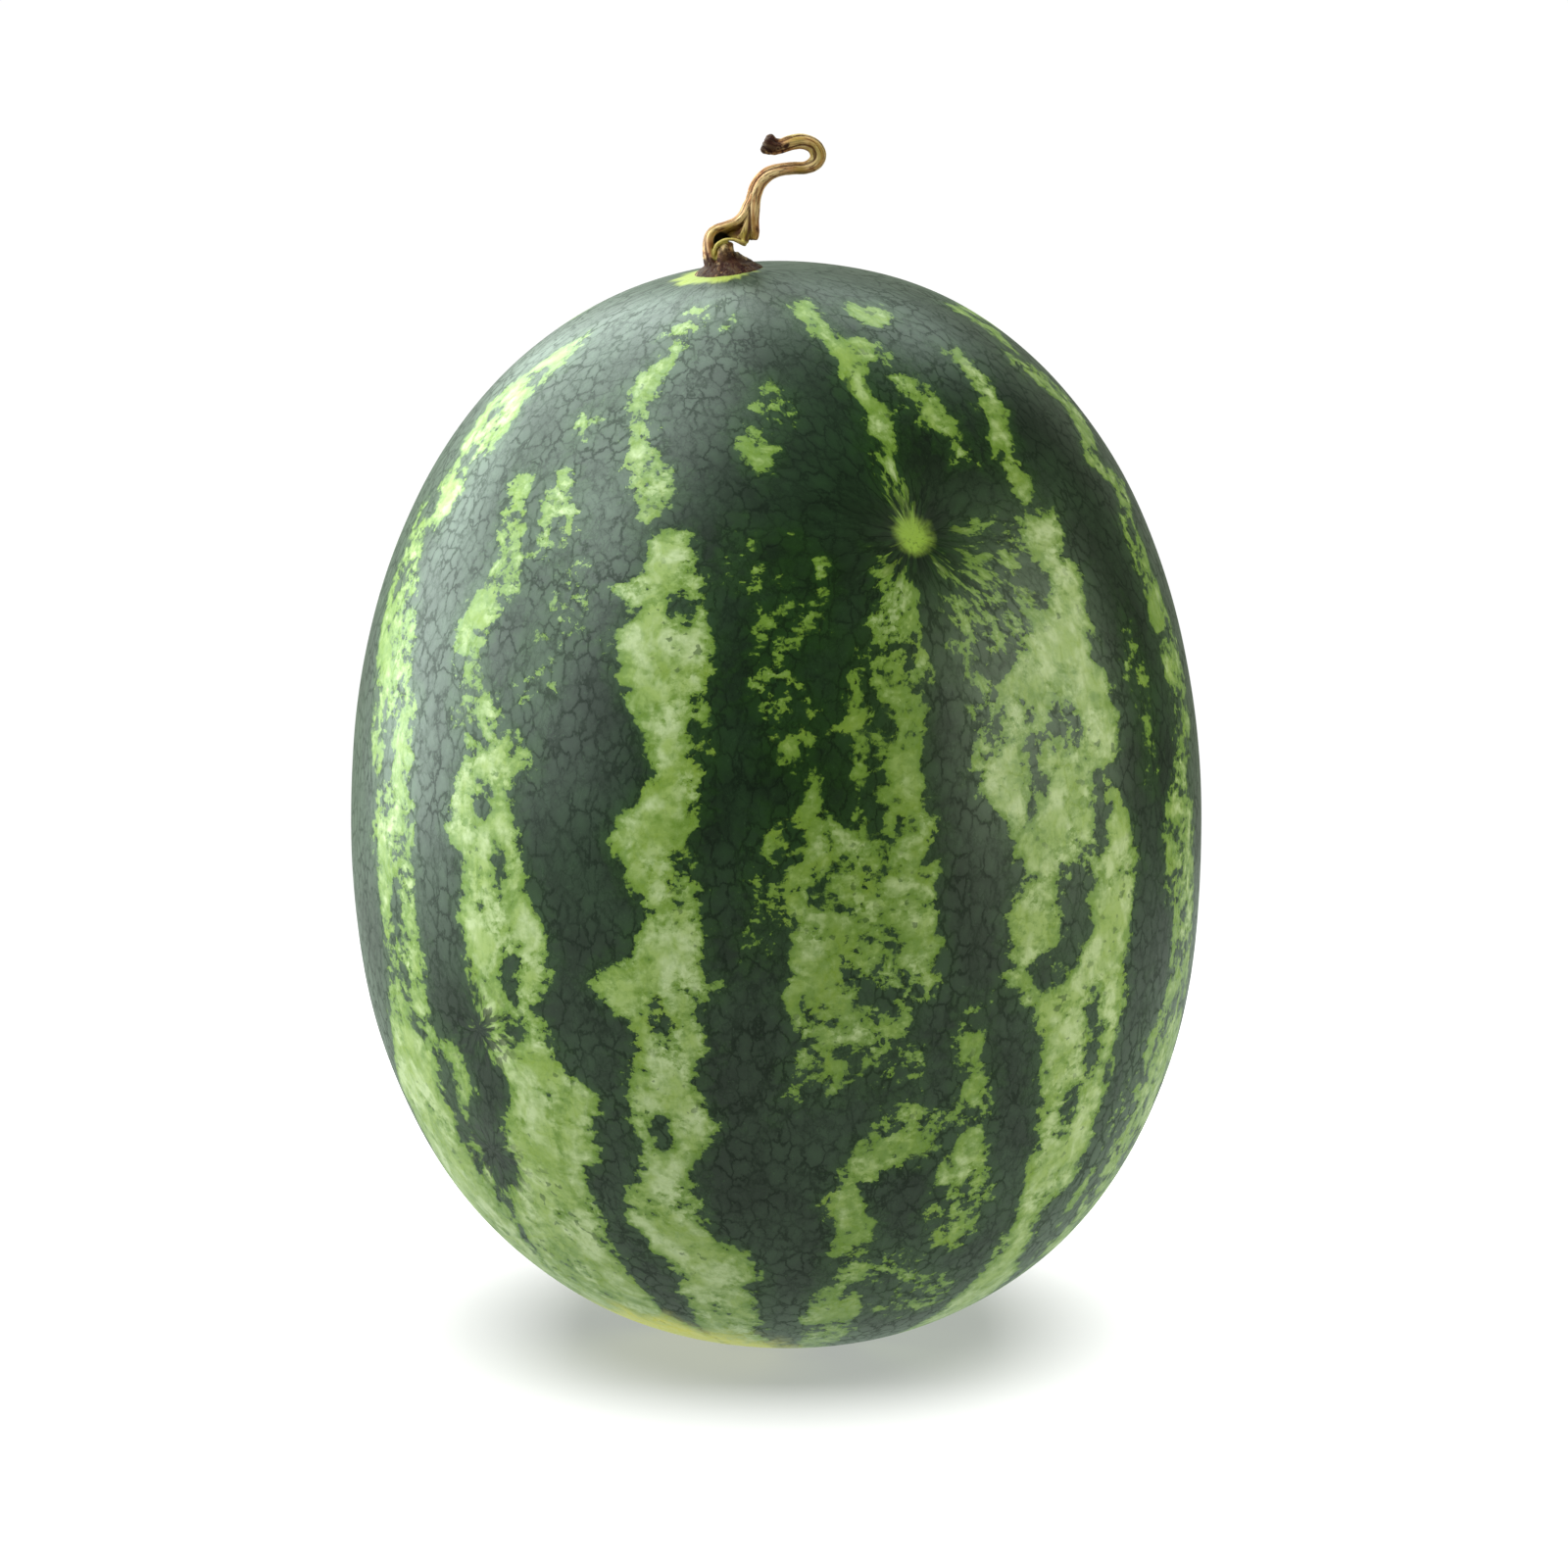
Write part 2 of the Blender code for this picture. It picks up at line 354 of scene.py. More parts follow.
# How far, in degrees, a hidden stripe's middle wanders and its edges jag, how much its width
# swells, over how many millimetres of height, and the least share of its width that is left.
BACK_HEIGHTS = range(6, 306, 9)
WANDER = 3.0
WANDER_HEIGHT = 45
JAG = 2.5
JAG_HEIGHT = 9
SWELL = 0.9
SWELL_HEIGHT = 22
NARROWEST = 0.12


def length_at(height):
    """Millimetres along the skin from the middle of the base up to this height."""
    return np.interp(np.asarray(height) * MM, ring_heights[1:], ring_lengths[1:]) / MM


def wrapped(degrees):
    """The same direction, from -180 to 180 degrees."""
    return (degrees + 180) % 360 - 180


def inside_stripe(outline):
    """Millimetres inside the nearest edge of a stripe, negative outside it."""
    stations = np.array(sorted(outline))
    middle = (stations[0, 1] + stations[0, 2]) / 2
    place = middle + wrapped(skin_degrees - middle)
    left = np.interp(skin_height, stations[:, 0], stations[:, 1])
    right = np.interp(skin_height, stations[:, 0], stations[:, 2])
    one_degree = skin_radius * math.pi / 180
    sideways = np.minimum(place - left, right - place) * one_degree
    ends = np.minimum(along_skin - length_at(stations[0, 0]), length_at(stations[-1, 0]) - along_skin)
    return np.minimum(sideways, ends + END_SPILL)


def inside_blotch(height, degrees, half_height, half_width):
    """The same for an oval blotch."""
    sideways = wrapped(skin_degrees - degrees) * math.pi / 180 * skin_radius / half_width
    lengthways = (along_skin - length_at(height)) / half_height
    return (1 - np.hypot(sideways, lengthways)) * min(half_height, half_width)


def back_outline(degrees, width, seed):
    """A stripe that wanders, swells and breaks up, for the side with no drawn outline."""
    outline = []
    for height in BACK_HEIGHTS:
        wander = WANDER * folds.noise(Vector((height / WANDER_HEIGHT, seed * 7.3, 0)))
        swell = 1 + SWELL * folds.noise(Vector((height / SWELL_HEIGHT, seed * 3.1, 5)))
        swell *= 0.55 + 0.45 * float(smooth_step(300 - height, 0, 70))
        left = JAG * folds.noise(Vector((height / JAG_HEIGHT, seed * 1.7, 9)))
        right = JAG * folds.noise(Vector((height / JAG_HEIGHT, seed * 2.3, 13)))
        half = width / 2 * max(swell, NARROWEST)
        outline.append((height, degrees + wander - half + left, degrees + wander + half + right))
    return outline


paleness = np.full(len(skin), PLAIN_DEPTH)
for solid, outline in STRIPES:
    paleness = np.maximum(paleness, np.minimum(inside_stripe(outline), solid))
for degrees, width, solid, seed in BACK_STRIPES:
    paleness = np.maximum(paleness, np.minimum(inside_stripe(back_outline(degrees, width, seed)), solid))
for *place, solid in BLOTCHES:
    paleness = np.maximum(paleness, np.minimum(inside_blotch(*place), solid))
for place in ISLANDS:
    paleness = np.minimum(paleness, np.maximum(-inside_blotch(*place), ISLAND_DEPTH))

# The grain's own space, in millimetres: as the skin lies, but opened out round both ends of the
# fruit, so that cells and fibres there come out long and narrow and point at the stem.
END_OPENING = 34.0


def grain_at(points):
    """Where points lie in the grain."""
    x, y = from_middle(points)
    reach = np.hypot(x, y) / MM
    opened = np.hypot(reach, END_OPENING) / np.maximum(reach, 0.5) / MM
    return np.stack([x * opened, y * opened, points[:, 2] / MM], axis=1)


grain = grain_at(skin)


# Small hollows and swellings: the scar sits in a dimple, the puckers and the stem in hollows, and
# the whole rind is a little lumpy, but not where it rests. Each hollow is its radius and depth.
SCAR_DIMPLE = (0.016, 1.1 * MM)
SCAR_PIT = (0.006, 0.5 * MM)
PUCKER_HOLLOW = (0.012, 0.9 * MM)
CROWN_HOLLOW = (0.022, 0.5 * MM)


def hollow(centre, radius, depth):
    """How far a round hollow, of this radius and depth, sinks each point of the skin."""
    away = np.linalg.norm(skin - np.array(centre), axis=1)
    return -depth * np.exp(-((away / radius) ** 2))


outwards = skin - np.array([bow(WIDEST_HEIGHT), 0.0, WIDEST_HEIGHT])
outwards /= np.linalg.norm(outwards, axis=1)[:, None]
lumps = np.array([folds.noise(Vector(point) * LUMPS_PER_METRE) for point in skin])
lift = LUMP_HEIGHT * lumps
lift += hollow(SCAR, *SCAR_DIMPLE) + hollow(SCAR, *SCAR_PIT)
for pucker in PUCKERS:
    lift += hollow(pucker, *PUCKER_HOLLOW)
lift += hollow((*STEM_PLACE, FRUIT_HEIGHT), *CROWN_HOLLOW)
lift = (lift - LUMP_HEIGHT) * smooth_step(skin[:, 2], 0.0, STANDS_CLEAR)
skin = skin + outwards * lift[:, None]

rind_mesh = bpy.data.meshes.new("rind_skin")
rind_mesh.from_pydata(skin.tolist(), [], faces)
rind_mesh.update()
rind_mesh.shade_smooth()
rind_mesh.attributes.new("paleness", "FLOAT", "POINT").data.foreach_set("value", paleness)
rind_mesh.attributes.new("grain", "FLOAT_VECTOR", "POINT").data.foreach_set("vector", grain.ravel())
rind = bpy.data.objects.new("rind_skin", rind_mesh)
bpy.context.scene.collection.objects.link(rind)
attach(rind, "root")
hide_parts("melon")


# ---------------------------------------------------------------------------------------------
# The rind's finish. A living skin under thin wax: dark green crazed with darker veins, blotches
# that fade from yellow-green edges to chalky middles, and fine fibres and pores all over.

# Where a Mix node keeps its two colours and their blend.
MIX_FIRST = 6
MIX_SECOND = 7
MIX_RESULT = 2


class Wire:
    """One value on its way between shader nodes. Arithmetic on wires adds Math nodes."""

    def __init__(self, tree, socket):
        self.tree = tree
        self.socket = socket

    def node(self, kind, settings=None, sockets=None, output=0):
        """Adds a node, its settings first, then what goes into its sockets."""
        made = self.tree.nodes.new(kind)
        for name, value in (settings or {}).items():
            setattr(made, name, value)
        for name, value in (sockets or {}).items():
            if isinstance(value, Wire):
                self.tree.links.new(value.socket, made.inputs[name])
            else:
                made.inputs[name].default_value = value
        return Wire(self.tree, made.outputs[output])

    def math(self, operation, *values):
        return self.node("ShaderNodeMath", {"operation": operation}, dict(enumerate(values)))

    def __add__(self, other):
        return self.math("ADD", self, other)

    __radd__ = __add__

    def __sub__(self, other):
        return self.math("SUBTRACT", self, other)

    def __rsub__(self, other):
        return self.math("SUBTRACT", other, self)

    def __mul__(self, other):
        return self.math("MULTIPLY", self, other)

    __rmul__ = __mul__

    def __truediv__(self, other):
        return self.math("DIVIDE", self, other)

    def least(self, other):
        return self.math("MINIMUM", self, other)

    def most(self, other):
        return self.math("MAXIMUM", self, other)

    def between(self, low, high):
        """0 below low, 1 above high, and smooth from one to the other."""
        settings = {"interpolation_type": "SMOOTHSTEP", "clamp": True}
        return self.node("ShaderNodeMapRange", settings, {"Value": self, "From Min": low, "From Max": high})

    def vector(self, operation, *values, output=0):
        return self.node("ShaderNodeVectorMath", {"operation": operation}, dict(enumerate(values)), output)

    def scaled(self, x, y, z):
        return self.vector("MULTIPLY", self, (x, y, z))

    def blend(self, first, second):
        """The colour this share of the way from the first colour to the second."""
        sockets = {"Factor": self, MIX_FIRST: first, MIX_SECOND: second}
        return self.node("ShaderNodeMix", {"data_type": "RGBA"}, sockets, MIX_RESULT)

    def mixed(self, other, share):
        """This colour with a share of the other laid over it."""
        return share.blend(self, other)

    def noise(self, scale, detail, roughness, distortion, output):
        """Noise over this place, either as one value or as a colour."""
        sockets = {
            "Vector": self,
            "Scale": scale,
            "Detail": detail,
            "Roughness": roughness,
            "Distortion": distortion,
        }
        return self.node("ShaderNodeTexNoise", {"noise_dimensions": "3D"}, sockets, output)

    def speckle(self, size, detail=2.0, roughness=0.5, distortion=0.0):
        """Soft noise from 0 to 1 on this place, with spots about this size."""
        return self.noise(1 / size, detail, roughness, distortion, "Fac")

    def jogged(self, scale, detail, roughness, reach):
        """This place pushed about by noise, up to this far along each axis."""
        push = self.noise(scale, detail, roughness, 0.0, "Color")
        return self.vector("MULTIPLY_ADD", push, (reach, reach, reach), self)

    def cell_edge(self, size):
        """Distance to the nearest edge between cells of about this size, as a share of it."""
        settings = {"voronoi_dimensions": "3D", "feature": "DISTANCE_TO_EDGE"}
        return self.node("ShaderNodeTexVoronoi", settings, {"Vector": self, "Scale": 1 / size}, "Distance")


def new_finish(name):
    """A named material, its Principled shader, and a wire to hang other nodes on."""
    material = bpy.data.materials.new(name)
    material.use_nodes = True
    tree = material.node_tree
    shader = tree.nodes["Principled BSDF"]
    return material, shader, Wire(tree, None)


def connect(shader, name, wire):
    wire.tree.links.new(wire.socket, shader.inputs[name])


def colour(red, green, blue):
    return (red, green, blue, 1.0)


# Sizes in the grain, and how far lobes and nicks shift an edge, in millimetres.
RIND_CELL = 1.4
VEIN_CELL = 4.8
FINE_VEIN_CELL = 2.64
PORE = 0.9
LOBE = 12
LOBE_REACH = 15
NICK = 4.0
NICK_REACH = 9
ROUGH_NICK_REACH = 10
ROUGH_ZONE = 19
CELL_PULL = 0.45
SCAR_REACH = 22.0
PUCKER_REACH = 9.0
NEAREST = 0.3

COLLAR_MIDDLE = (STEM_PLACE[0] - 0.0038, STEM_PLACE[1] - 0.0035, FRUIT_HEIGHT - 0.0015)
GROUND_MIDDLE = skin_point(5, -40)

DEEP_GREEN = colour(0.004, 0.012, 0.003)
CLOUDY_GREEN = colour(0.012, 0.030, 0.010)
LEAF_GREEN = colour(0.013, 0.044, 0.003)
VEIN_GREEN = colour(0.002, 0.006, 0.002)
PEBBLE_GREEN = colour(0.015, 0.041, 0.011)
PORE_GREEN = colour(0.05, 0.11, 0.04)
EDGE_YELLOW = colour(0.15, 0.235, 0.027)
BLOTCH_GREEN = colour(0.34, 0.41, 0.12)
CHALKY_GREEN = colour(0.56, 0.59, 0.34)
YELLOW_GREEN = colour(0.22, 0.30, 0.035)
THIN_GREEN = colour(0.13, 0.22, 0.032)
FIBRE_GREEN = colour(0.12, 0.20, 0.05)
GROUND_YELLOW = colour(0.86, 0.72, 0.13)
SCAR_YELLOW = colour(0.33, 0.44, 0.06)
COLLAR_GREEN = colour(0.42, 0.46, 0.085)


def opened_round(place, centre, reach):
    """Grain that runs in towards a point, as skin does where it was pulled into a scar."""
    away = place.vector("SUBTRACT", place, centre)
    distance = away.vector("LENGTH", away, output=1)
    spread = distance * distance + reach * reach
    push = (spread.math("SQRT", spread) - distance) / distance.most(NEAREST)
    pushed = away.node("ShaderNodeVectorMath", {"operation": "SCALE"}, {0: away, "Scale": push})
    return place.vector("ADD", place, pushed)


def build_rind_finish():
    material, shader, start = new_finish("waxy_rind")
    pale_depth = start.node("ShaderNodeAttribute", {"attribute_name": "paleness"}, None, "Fac")
    grain_place = start.node("ShaderNodeAttribute", {"attribute_name": "grain"}, None, "Vector")
    place = start.node("ShaderNodeTexCoord", None, None, "Object")
    place = place.scaled(1 / MM, 1 / MM, 1 / MM)

    # The grain closes in on the scar and the puckers.
    for centre, reach in ((SCAR, SCAR_REACH), (PUCKERS[0], PUCKER_REACH), (PUCKERS[1], PUCKER_REACH)):
        grain_place = opened_round(grain_place, tuple(grain_at(np.array([centre]))[0]), reach)

    def distance_to(centre):
        away = place.vector("SUBTRACT", place, tuple(Vector(centre) / MM))
        return away.vector("LENGTH", away, output=1)

    # Blotches: the drawn outlines, broken up by coarse lobes and by nicks one rind cell in size.
    ruffled = grain_place.jogged(scale=0.9, detail=2.0, roughness=0.5, reach=1.3)
    cell_middle = ruffled.node(
        "ShaderNodeTexVoronoi",
        {"voronoi_dimensions": "3D", "feature": "F1"},
        {"Vector": ruffled.scaled(1, 1, 1.15), "Scale": 1 / RIND_CELL},
        "Position",
    )
    to_middle = cell_middle.vector("SUBTRACT", cell_middle, grain_place)
    cells = grain_place.vector("MULTIPLY_ADD", to_middle, (CELL_PULL, CELL_PULL, CELL_PULL), grain_place)
    lobes = grain_place.scaled(1, 1, 1.15).speckle(LOBE, 3.0, 0.55, 0.7) - 0.5
    nicks = cells.scaled(1, 1, 1.45).speckle(NICK, 5.0, 0.66, 0.3) - 0.5
    rough_zone = grain_place.speckle(ROUGH_ZONE, 2.0, 0.5).between(0.42, 0.60)
    ragged = pale_depth + lobes * LOBE_REACH + nicks * (rough_zone * ROUGH_NICK_REACH + NICK_REACH)
    pale = ragged.between(-0.55, 0.75)
    depth = ragged.between(0.4, 6.0)
    halo = ragged.between(-7.0, -0.1)

    # Holes and thin places inside the blotches.
    hole_zone = grain_place.speckle(26, 2.0, 0.5).between(0.45, 0.62)
    holes = cells.scaled(0.9, 0.9, 1.2).speckle(3.6, 2.0, 0.5).between(0.63, 0.67) * hole_zone
    thin = cells.scaled(0.9, 0.9, 1.1).speckle(3.4, 6.0, 0.72, 0.8).between(0.46, 0.66)
    worn = grain_place.speckle(15, 4.0, 0.6, 0.6).between(0.5, 0.7)

    # Veins in the dark rind.
    vein_place = grain_place.scaled(1.0, 1.0, 0.72)
    vein_place = vein_place.jogged(scale=0.30, detail=4.0, roughness=0.65, reach=5.0)
    wide_veins = 1 - vein_place.cell_edge(VEIN_CELL).between(0.0, 0.13)
    fine_veins = 1 - vein_place.cell_edge(FINE_VEIN_CELL).between(0.0, 0.12)
    vein_zone = grain_place.speckle(9, 3.0, 0.6).between(0.38, 0.60)
    veins = (wide_veins * (vein_zone * 0.7 + 0.2) + fine_veins * (1 - vein_zone) * 0.4).least(1.0)
    pebbles = vein_place.cell_edge(VEIN_CELL).between(0.05, 0.5)

    fibres = grain_place.scaled(1.0, 1.0, 0.4).speckle(1.6, 4.0, 0.65)
    pores = grain_place.speckle(PORE, 2.0, 0.5)
    clouds = grain_place.speckle(24, 4.0, 0.6)

    base = clouds.between(0.3, 0.7).blend(DEEP_GREEN, CLOUDY_GREEN)
    base = base.mixed(LEAF_GREEN, halo * 0.75)
    base = base.mixed(PEBBLE_GREEN, pebbles * clouds.between(0.35, 0.65) * 0.7)
    base = base.mixed(VEIN_GREEN, veins * 0.7)
    base = base.mixed(PORE_GREEN, pores.between(0.62, 0.78) * 0.3)

    blotch = depth.blend(EDGE_YELLOW, BLOTCH_GREEN)
    chalky = grain_place.scaled(1, 1, 0.8).speckle(9, 3.0, 0.55, 0.4).between(0.40, 0.62)
    blotch = blotch.mixed(CHALKY_GREEN, depth * chalky * 0.85)
    blotch = blotch.mixed(YELLOW_GREEN, worn * 0.75)
    blotch = blotch.mixed(THIN_GREEN, thin * (worn * 0.35 + 0.20))
    blotch = blotch.mixed(FIBRE_GREEN, fibres.between(0.5, 0.75) * 0.28)
    blotch = blotch.mixed(LEAF_GREEN, holes * 0.6)

    skin_colour = base.mixed(blotch, pale)

    # Collar of unripened skin round the stem, the scar and the ground spot; painted shade round the scar and
    # in the pucker creases.
    collar_away = distance_to(COLLAR_MIDDLE)
    collar = 1 - (collar_away + nicks * 5 + lobes * 10).between(10.0, 14.0)
    skin_colour = skin_colour.mixed(COLLAR_GREEN, collar * 0.9)
    scar_away = distance_to(SCAR)
    rays = grain_place.speckle(3.0, 2.0, 0.5)
    scar_shade = (1 - scar_away.between(5.0, 20.0)) * rays.between(0.40, 0.52)
    skin_colour = skin_colour.mixed(VEIN_GREEN, scar_shade * 0.75)
    scar_shape = place.speckle(5.5, 3.0, 0.6)
    scar = 1 - (scar_away + scar_shape * 5 + rays * 1.5).between(6.4, 10.4)
    scar_grit = place.speckle(1.0, 3.0, 0.6).between(0.5, 0.7)
    skin_colour = skin_colour.mixed(SCAR_YELLOW, scar * (1 - scar_grit * 0.4))
    for pucker in PUCKERS:
        pucker_away = distance_to(pucker)
        # Painted shade in each pucker's crease and along the crease lines that run out from it.
        crease_shade = 1 - (pucker_away + nicks * 8).between(2.0, 6.5)
        lines = (1 - pucker_away.between(6.0, 19.0)) * rays.between(0.50, 0.58)
        skin_colour = skin_colour.mixed(VEIN_GREEN, crease_shade.most(lines) * 0.85)
    ground = 1 - (distance_to(GROUND_MIDDLE) + lobes * 30 + nicks * 10).between(22, 40)
    skin_colour = skin_colour.mixed(GROUND_YELLOW, ground * (pale * 0.3 + 0.65))

    connect(shader, "Base Color", skin_colour)
    shader.inputs["Specular IOR Level"].default_value = 0.12
    shader.inputs["Coat Roughness"].default_value = 0.36
    shader.inputs["Coat IOR"].default_value = 1.5
    roughness = clouds * 0.10 + veins * 0.08 + fibres * 0.08 + 0.42
    connect(shader, "Roughness", roughness)
    wax = (1 - veins * 0.68) * (clouds * 0.5 + 0.56) * (pebbles * 0.11 + 0.93)
    connect(shader, "Coat Weight", wax.least(1.0))

    height = veins * -0.3 + fibres * 0.35 + pores * 0.35 + pale * 0.1
    bump = height.node("ShaderNodeBump", None, {"Height": height, "Strength": 0.35, "Distance": 0.25 * MM})
    connect(shader, "Normal", bump)
    return material


rind_mesh.materials.append(build_rind_finish())


# ---------------------------------------------------------------------------------------------
# The dried stem. A piece of vine that was cut off with the fruit: a foot that grips the crown, a
# neck that kinked and split open as it shrivelled, and a ribbed stalk that curls to a dark knob.
# Its places are millimetres from the point where it meets the skin.

STEM_VOXEL = 0.22
STEM_LEAN = 0.02
STEM_SETTLING = 0.957
TUBE_SIDES = 28
STEPS_PER_SPAN = 8


def crown_height(x, y):
    """Height of the skin above a place near the crown."""
    radii, heights, _ = fruit_outline(OUTLINE_STEPS // 2)
    upper = heights > WIDEST_HEIGHT
    height = FRUIT_HEIGHT
    for _ in range(5):  # the middle line shifts with height, so a few rounds close in on it
        height = np.interp(math.hypot(x - bow(height), y), radii[upper][::-1], heights[upper][::-1])
    return height


STEM_FOOT = Vector((*STEM_PLACE, crown_height(*STEM_PLACE)))

# Stations along each strand: place, half width as seen from the front, and half depth.
STRAP = [  # up the left side, over the split and into the stalk
    (-3.4, 0.4, -1.0, 3.4, 4.6), (-4.4, 0.3, 1.5, 2.8, 4.2), (-5.2, 0.2, 4.0, 2.1, 3.8),
    (-5.5, 0.2, 7.0, 1.6, 3.7), (-4.9, 0.2, 9.6, 1.35, 3.6), (-2.9, 0.2, 11.3, 1.25, 3.4),
    (0.0, 0.2, 12.3, 1.2, 3.1), (2.7, 0.2, 13.6, 1.2, 2.8), (4.7, 0.2, 15.6, 1.4, 2.5),
    (5.8, 0.2, 18.2, 1.3, 2.1), (6.9, 0.2, 20.8, 0.8, 1.4),
]
STALK = [  # from its torn lower corner to the knob
    (7.0, -0.2, 8.1, 1.3, 2.0), (7.1, 0.0, 10.0, 1.8, 2.4), (7.0, 0.0, 13.0, 1.95, 2.3),
    (7.1, 0.0, 16.6, 2.1, 2.1), (7.6, 0.2, 20.6, 2.0, 2.0), (9.0, 0.4, 24.4, 2.0, 2.0),
    (11.7, 0.6, 27.3, 2.0, 2.0), (15.0, 0.6, 28.6, 1.8, 1.9), (18.8, 0.4, 29.1, 1.75, 1.9),
    (22.5, 0.0, 29.3, 1.75, 2.0), (25.2, -0.3, 30.7, 2.05, 2.1), (26.2, -0.6, 33.1, 2.25, 2.2),
    (24.9, -0.9, 35.7, 2.25, 2.2), (21.9, -1.1, 37.0, 2.15, 2.1), (18.7, -1.2, 36.7, 2.1, 2.0),
    (15.8, -1.2, 35.7, 2.05, 2.0), (13.6, -1.2, 35.6, 2.5, 2.3), (11.9, -1.2, 36.3, 3.0, 2.5),
    (10.9, -1.2, 36.8, 2.3, 2.0),
]
LIP = [  # curled round the mound in front of the neck
    (-3.8, -2.4, 2.2, 0.30, 0.35), (-3.9, -3.1, 4.4, 0.42, 0.5), (-3.5, -3.5, 6.2, 0.48, 0.6),
    (-2.4, -3.7, 7.4, 0.48, 0.8), (-0.7, -3.7, 8.2, 0.48, 1.0), (1.4, -3.5, 8.3, 0.5, 1.2),
    (3.2, -3.0, 7.6, 0.6, 1.3), (4.6, -2.5, 6.9, 0.7, 1.2), (5.1, -2.3, 6.6, 0.5, 0.8),
]
OTHER_STRANDS = [
    [  # back wall of the split
        (-4.0, 1.8, 2.0, 2.2, 2.0), (-3.6, 1.9, 6.0, 2.4, 1.8), (-2.2, 1.9, 9.4, 2.6, 1.6),
        (1.4, 1.6, 11.2, 2.6, 1.6), (5.0, 1.2, 13.0, 2.2, 1.5),
    ],
    [  # fibres inside the split, on the right
        (0.4, 0.6, 9.3, 0.8, 1.4), (2.4, -0.2, 9.5, 1.5, 1.6), (4.4, -0.9, 9.9, 2.1, 1.7),
        (6.0, -0.6, 11.0, 1.9, 1.8),
    ],
    [  # the mound in front of the neck
        (-1.0, -0.8, -1.0, 4.4, 4.6), (-0.9, -0.9, 2.5, 3.0, 3.9), (-0.9, -1.0, 5.2, 2.5, 3.4),
        (-0.3, -1.0, 7.5, 1.8, 2.7),
    ],
    LIP,
    [  # the torn flap between the lip and the stalk
        (5.1, -1.9, 7.2, 0.8, 1.3), (5.1, -1.6, 8.8, 1.25, 1.6), (5.4, -1.1, 11.4, 1.4, 1.8),
        (6.0, -0.4, 14.5, 1.3, 1.8),
    ],
    [  # the knob's pinched top
        (12.7, -1.2, 36.4, 1.5, 1.5), (12.5, -1.2, 38.0, 1.0, 1.1), (12.1, -1.2, 38.9, 0.6, 0.7),
    ],
]
FOOT_OUTLINE = [(9.4, -3.0), (9.9, -0.9), (9.4, -0.4), (7.6, 0.7), (5.8, 1.8), (4.2, 3.0), (2.8, 4.2)]
FOOT_SIDES = 48

# Patches of colour: place from the front, radius and strength.
PURPLE_PLACES = [
    (-6.0, -0.5, 4.5, 1.0), (1.0, 0.0, 6.0, 1.0), (7.0, 0.0, 4.5, 1.0), (-0.5, 4.0, 2.6, 0.8),
    (12.0, 36.3, 4.0, 1.0), (16.5, 35.4, 2.6, 0.6), (8.6, 11.5, 2.0, 0.4), (-2.0, 12.6, 1.6, 0.3),
]
RUSSET_PLACES = [
    (-6.2, 3.5, 3.0, 1.0), (-5.6, 7.0, 2.2, 0.7), (-1.6, 12.8, 2.6, 0.8), (8.2, 12.0, 3.0, 0.9),
    (16.0, 36.0, 3.0, 0.6),
]
OLIVE_PLACES = [
    (1.0, 10.4, 3.2, 0.9), (5.2, 9.5, 3.0, 1.0), (-4.0, 11.0, 2.6, 0.6), (6.0, 13.0, 2.4, 0.5),
    (21.0, 28.6, 2.2, 0.6), (25.4, 34.0, 4.2, 0.7), (20.0, 38.4, 3.4, 0.7),
]


def smooth_route(stations):
    """Stations filled in along a smooth curve through all of them."""
    points = np.array(stations, dtype=float)
    padded = np.concatenate([2 * points[:1] - points[1:2], points, 2 * points[-1:] - points[-2:-1]])
    filled = []
    for before, start, end, after in zip(padded, padded[1:], padded[2:], padded[3:]):
        for share in np.linspace(0, 1, STEPS_PER_SPAN, endpoint=False):
            bend = (2 * before - 5 * start + 4 * end - after) * share**2
            turn = (3 * start - before - 3 * end + after) * share**3
            filled.append(start + 0.5 * ((end - before) * share + bend + turn))
    return np.array(filled + [points[-1]])


def strand_frames(route):
    """The directions across a strand at each station: sideways as seen from the front, and deep."""
    along = np.gradient(route[:, :3], axis=0)
    along /= np.linalg.norm(along, axis=1)[:, None]
    sideways = np.cross(along, (0.0, 1.0, 0.0))
    sideways /= np.linalg.norm(sideways, axis=1)[:, None]
    return sideways, np.cross(sideways, along)


def add_strand(bm, stations):
    route = smooth_route(stations)
    sideways, deep = strand_frames(route)
    loops = []
    for place, across, inwards in zip(route, sideways, deep):
        loop = []
        for turn in np.linspace(0, 2 * math.pi, TUBE_SIDES, endpoint=False):
            reach = across * math.cos(turn) * place[3] + inwards * math.sin(turn) * place[4]
            loop.append(bm.verts.new((place[:3] + reach) * MM))
        loops.append(loop)
    for near, far in zip(loops, loops[1:]):
        for step in range(TUBE_SIDES):
            ahead = (step + 1) % TUBE_SIDES
            bm.faces.new((near[step], near[ahead], far[ahead], far[step]))
    bm.faces.new(loops[0][::-1])
    bm.faces.new(loops[-1])


bm = bmesh.new()
for stations in (STRAP, STALK, *OTHER_STRANDS):
    add_strand(bm, stations)
rings = []
for radius, height in FOOT_OUTLINE:
    ring = []
    for turn in np.linspace(0, 2 * math.pi, FOOT_SIDES, endpoint=False):
        x, y = radius * math.cos(turn) * MM, radius * math.sin(turn) * MM
        slope = crown_height(STEM_FOOT.x + x, STEM_FOOT.y + y) - STEM_FOOT.z
        ring.append(bm.verts.new((x, y, height * MM + slope)))
    rings.append(ring)
for near, far in zip(rings, rings[1:]):
    for step in range(FOOT_SIDES):
        ahead = (step + 1) % FOOT_SIDES
        bm.faces.new((near[step], near[ahead], far[ahead], far[step]))
bm.faces.new(rings[0][::-1])
bm.faces.new(rings[-1])
bmesh.ops.recalc_face_normals(bm, faces=bm.faces)
strands_mesh = bpy.data.meshes.new("strands")
bm.to_mesh(strands_mesh)
bm.free()

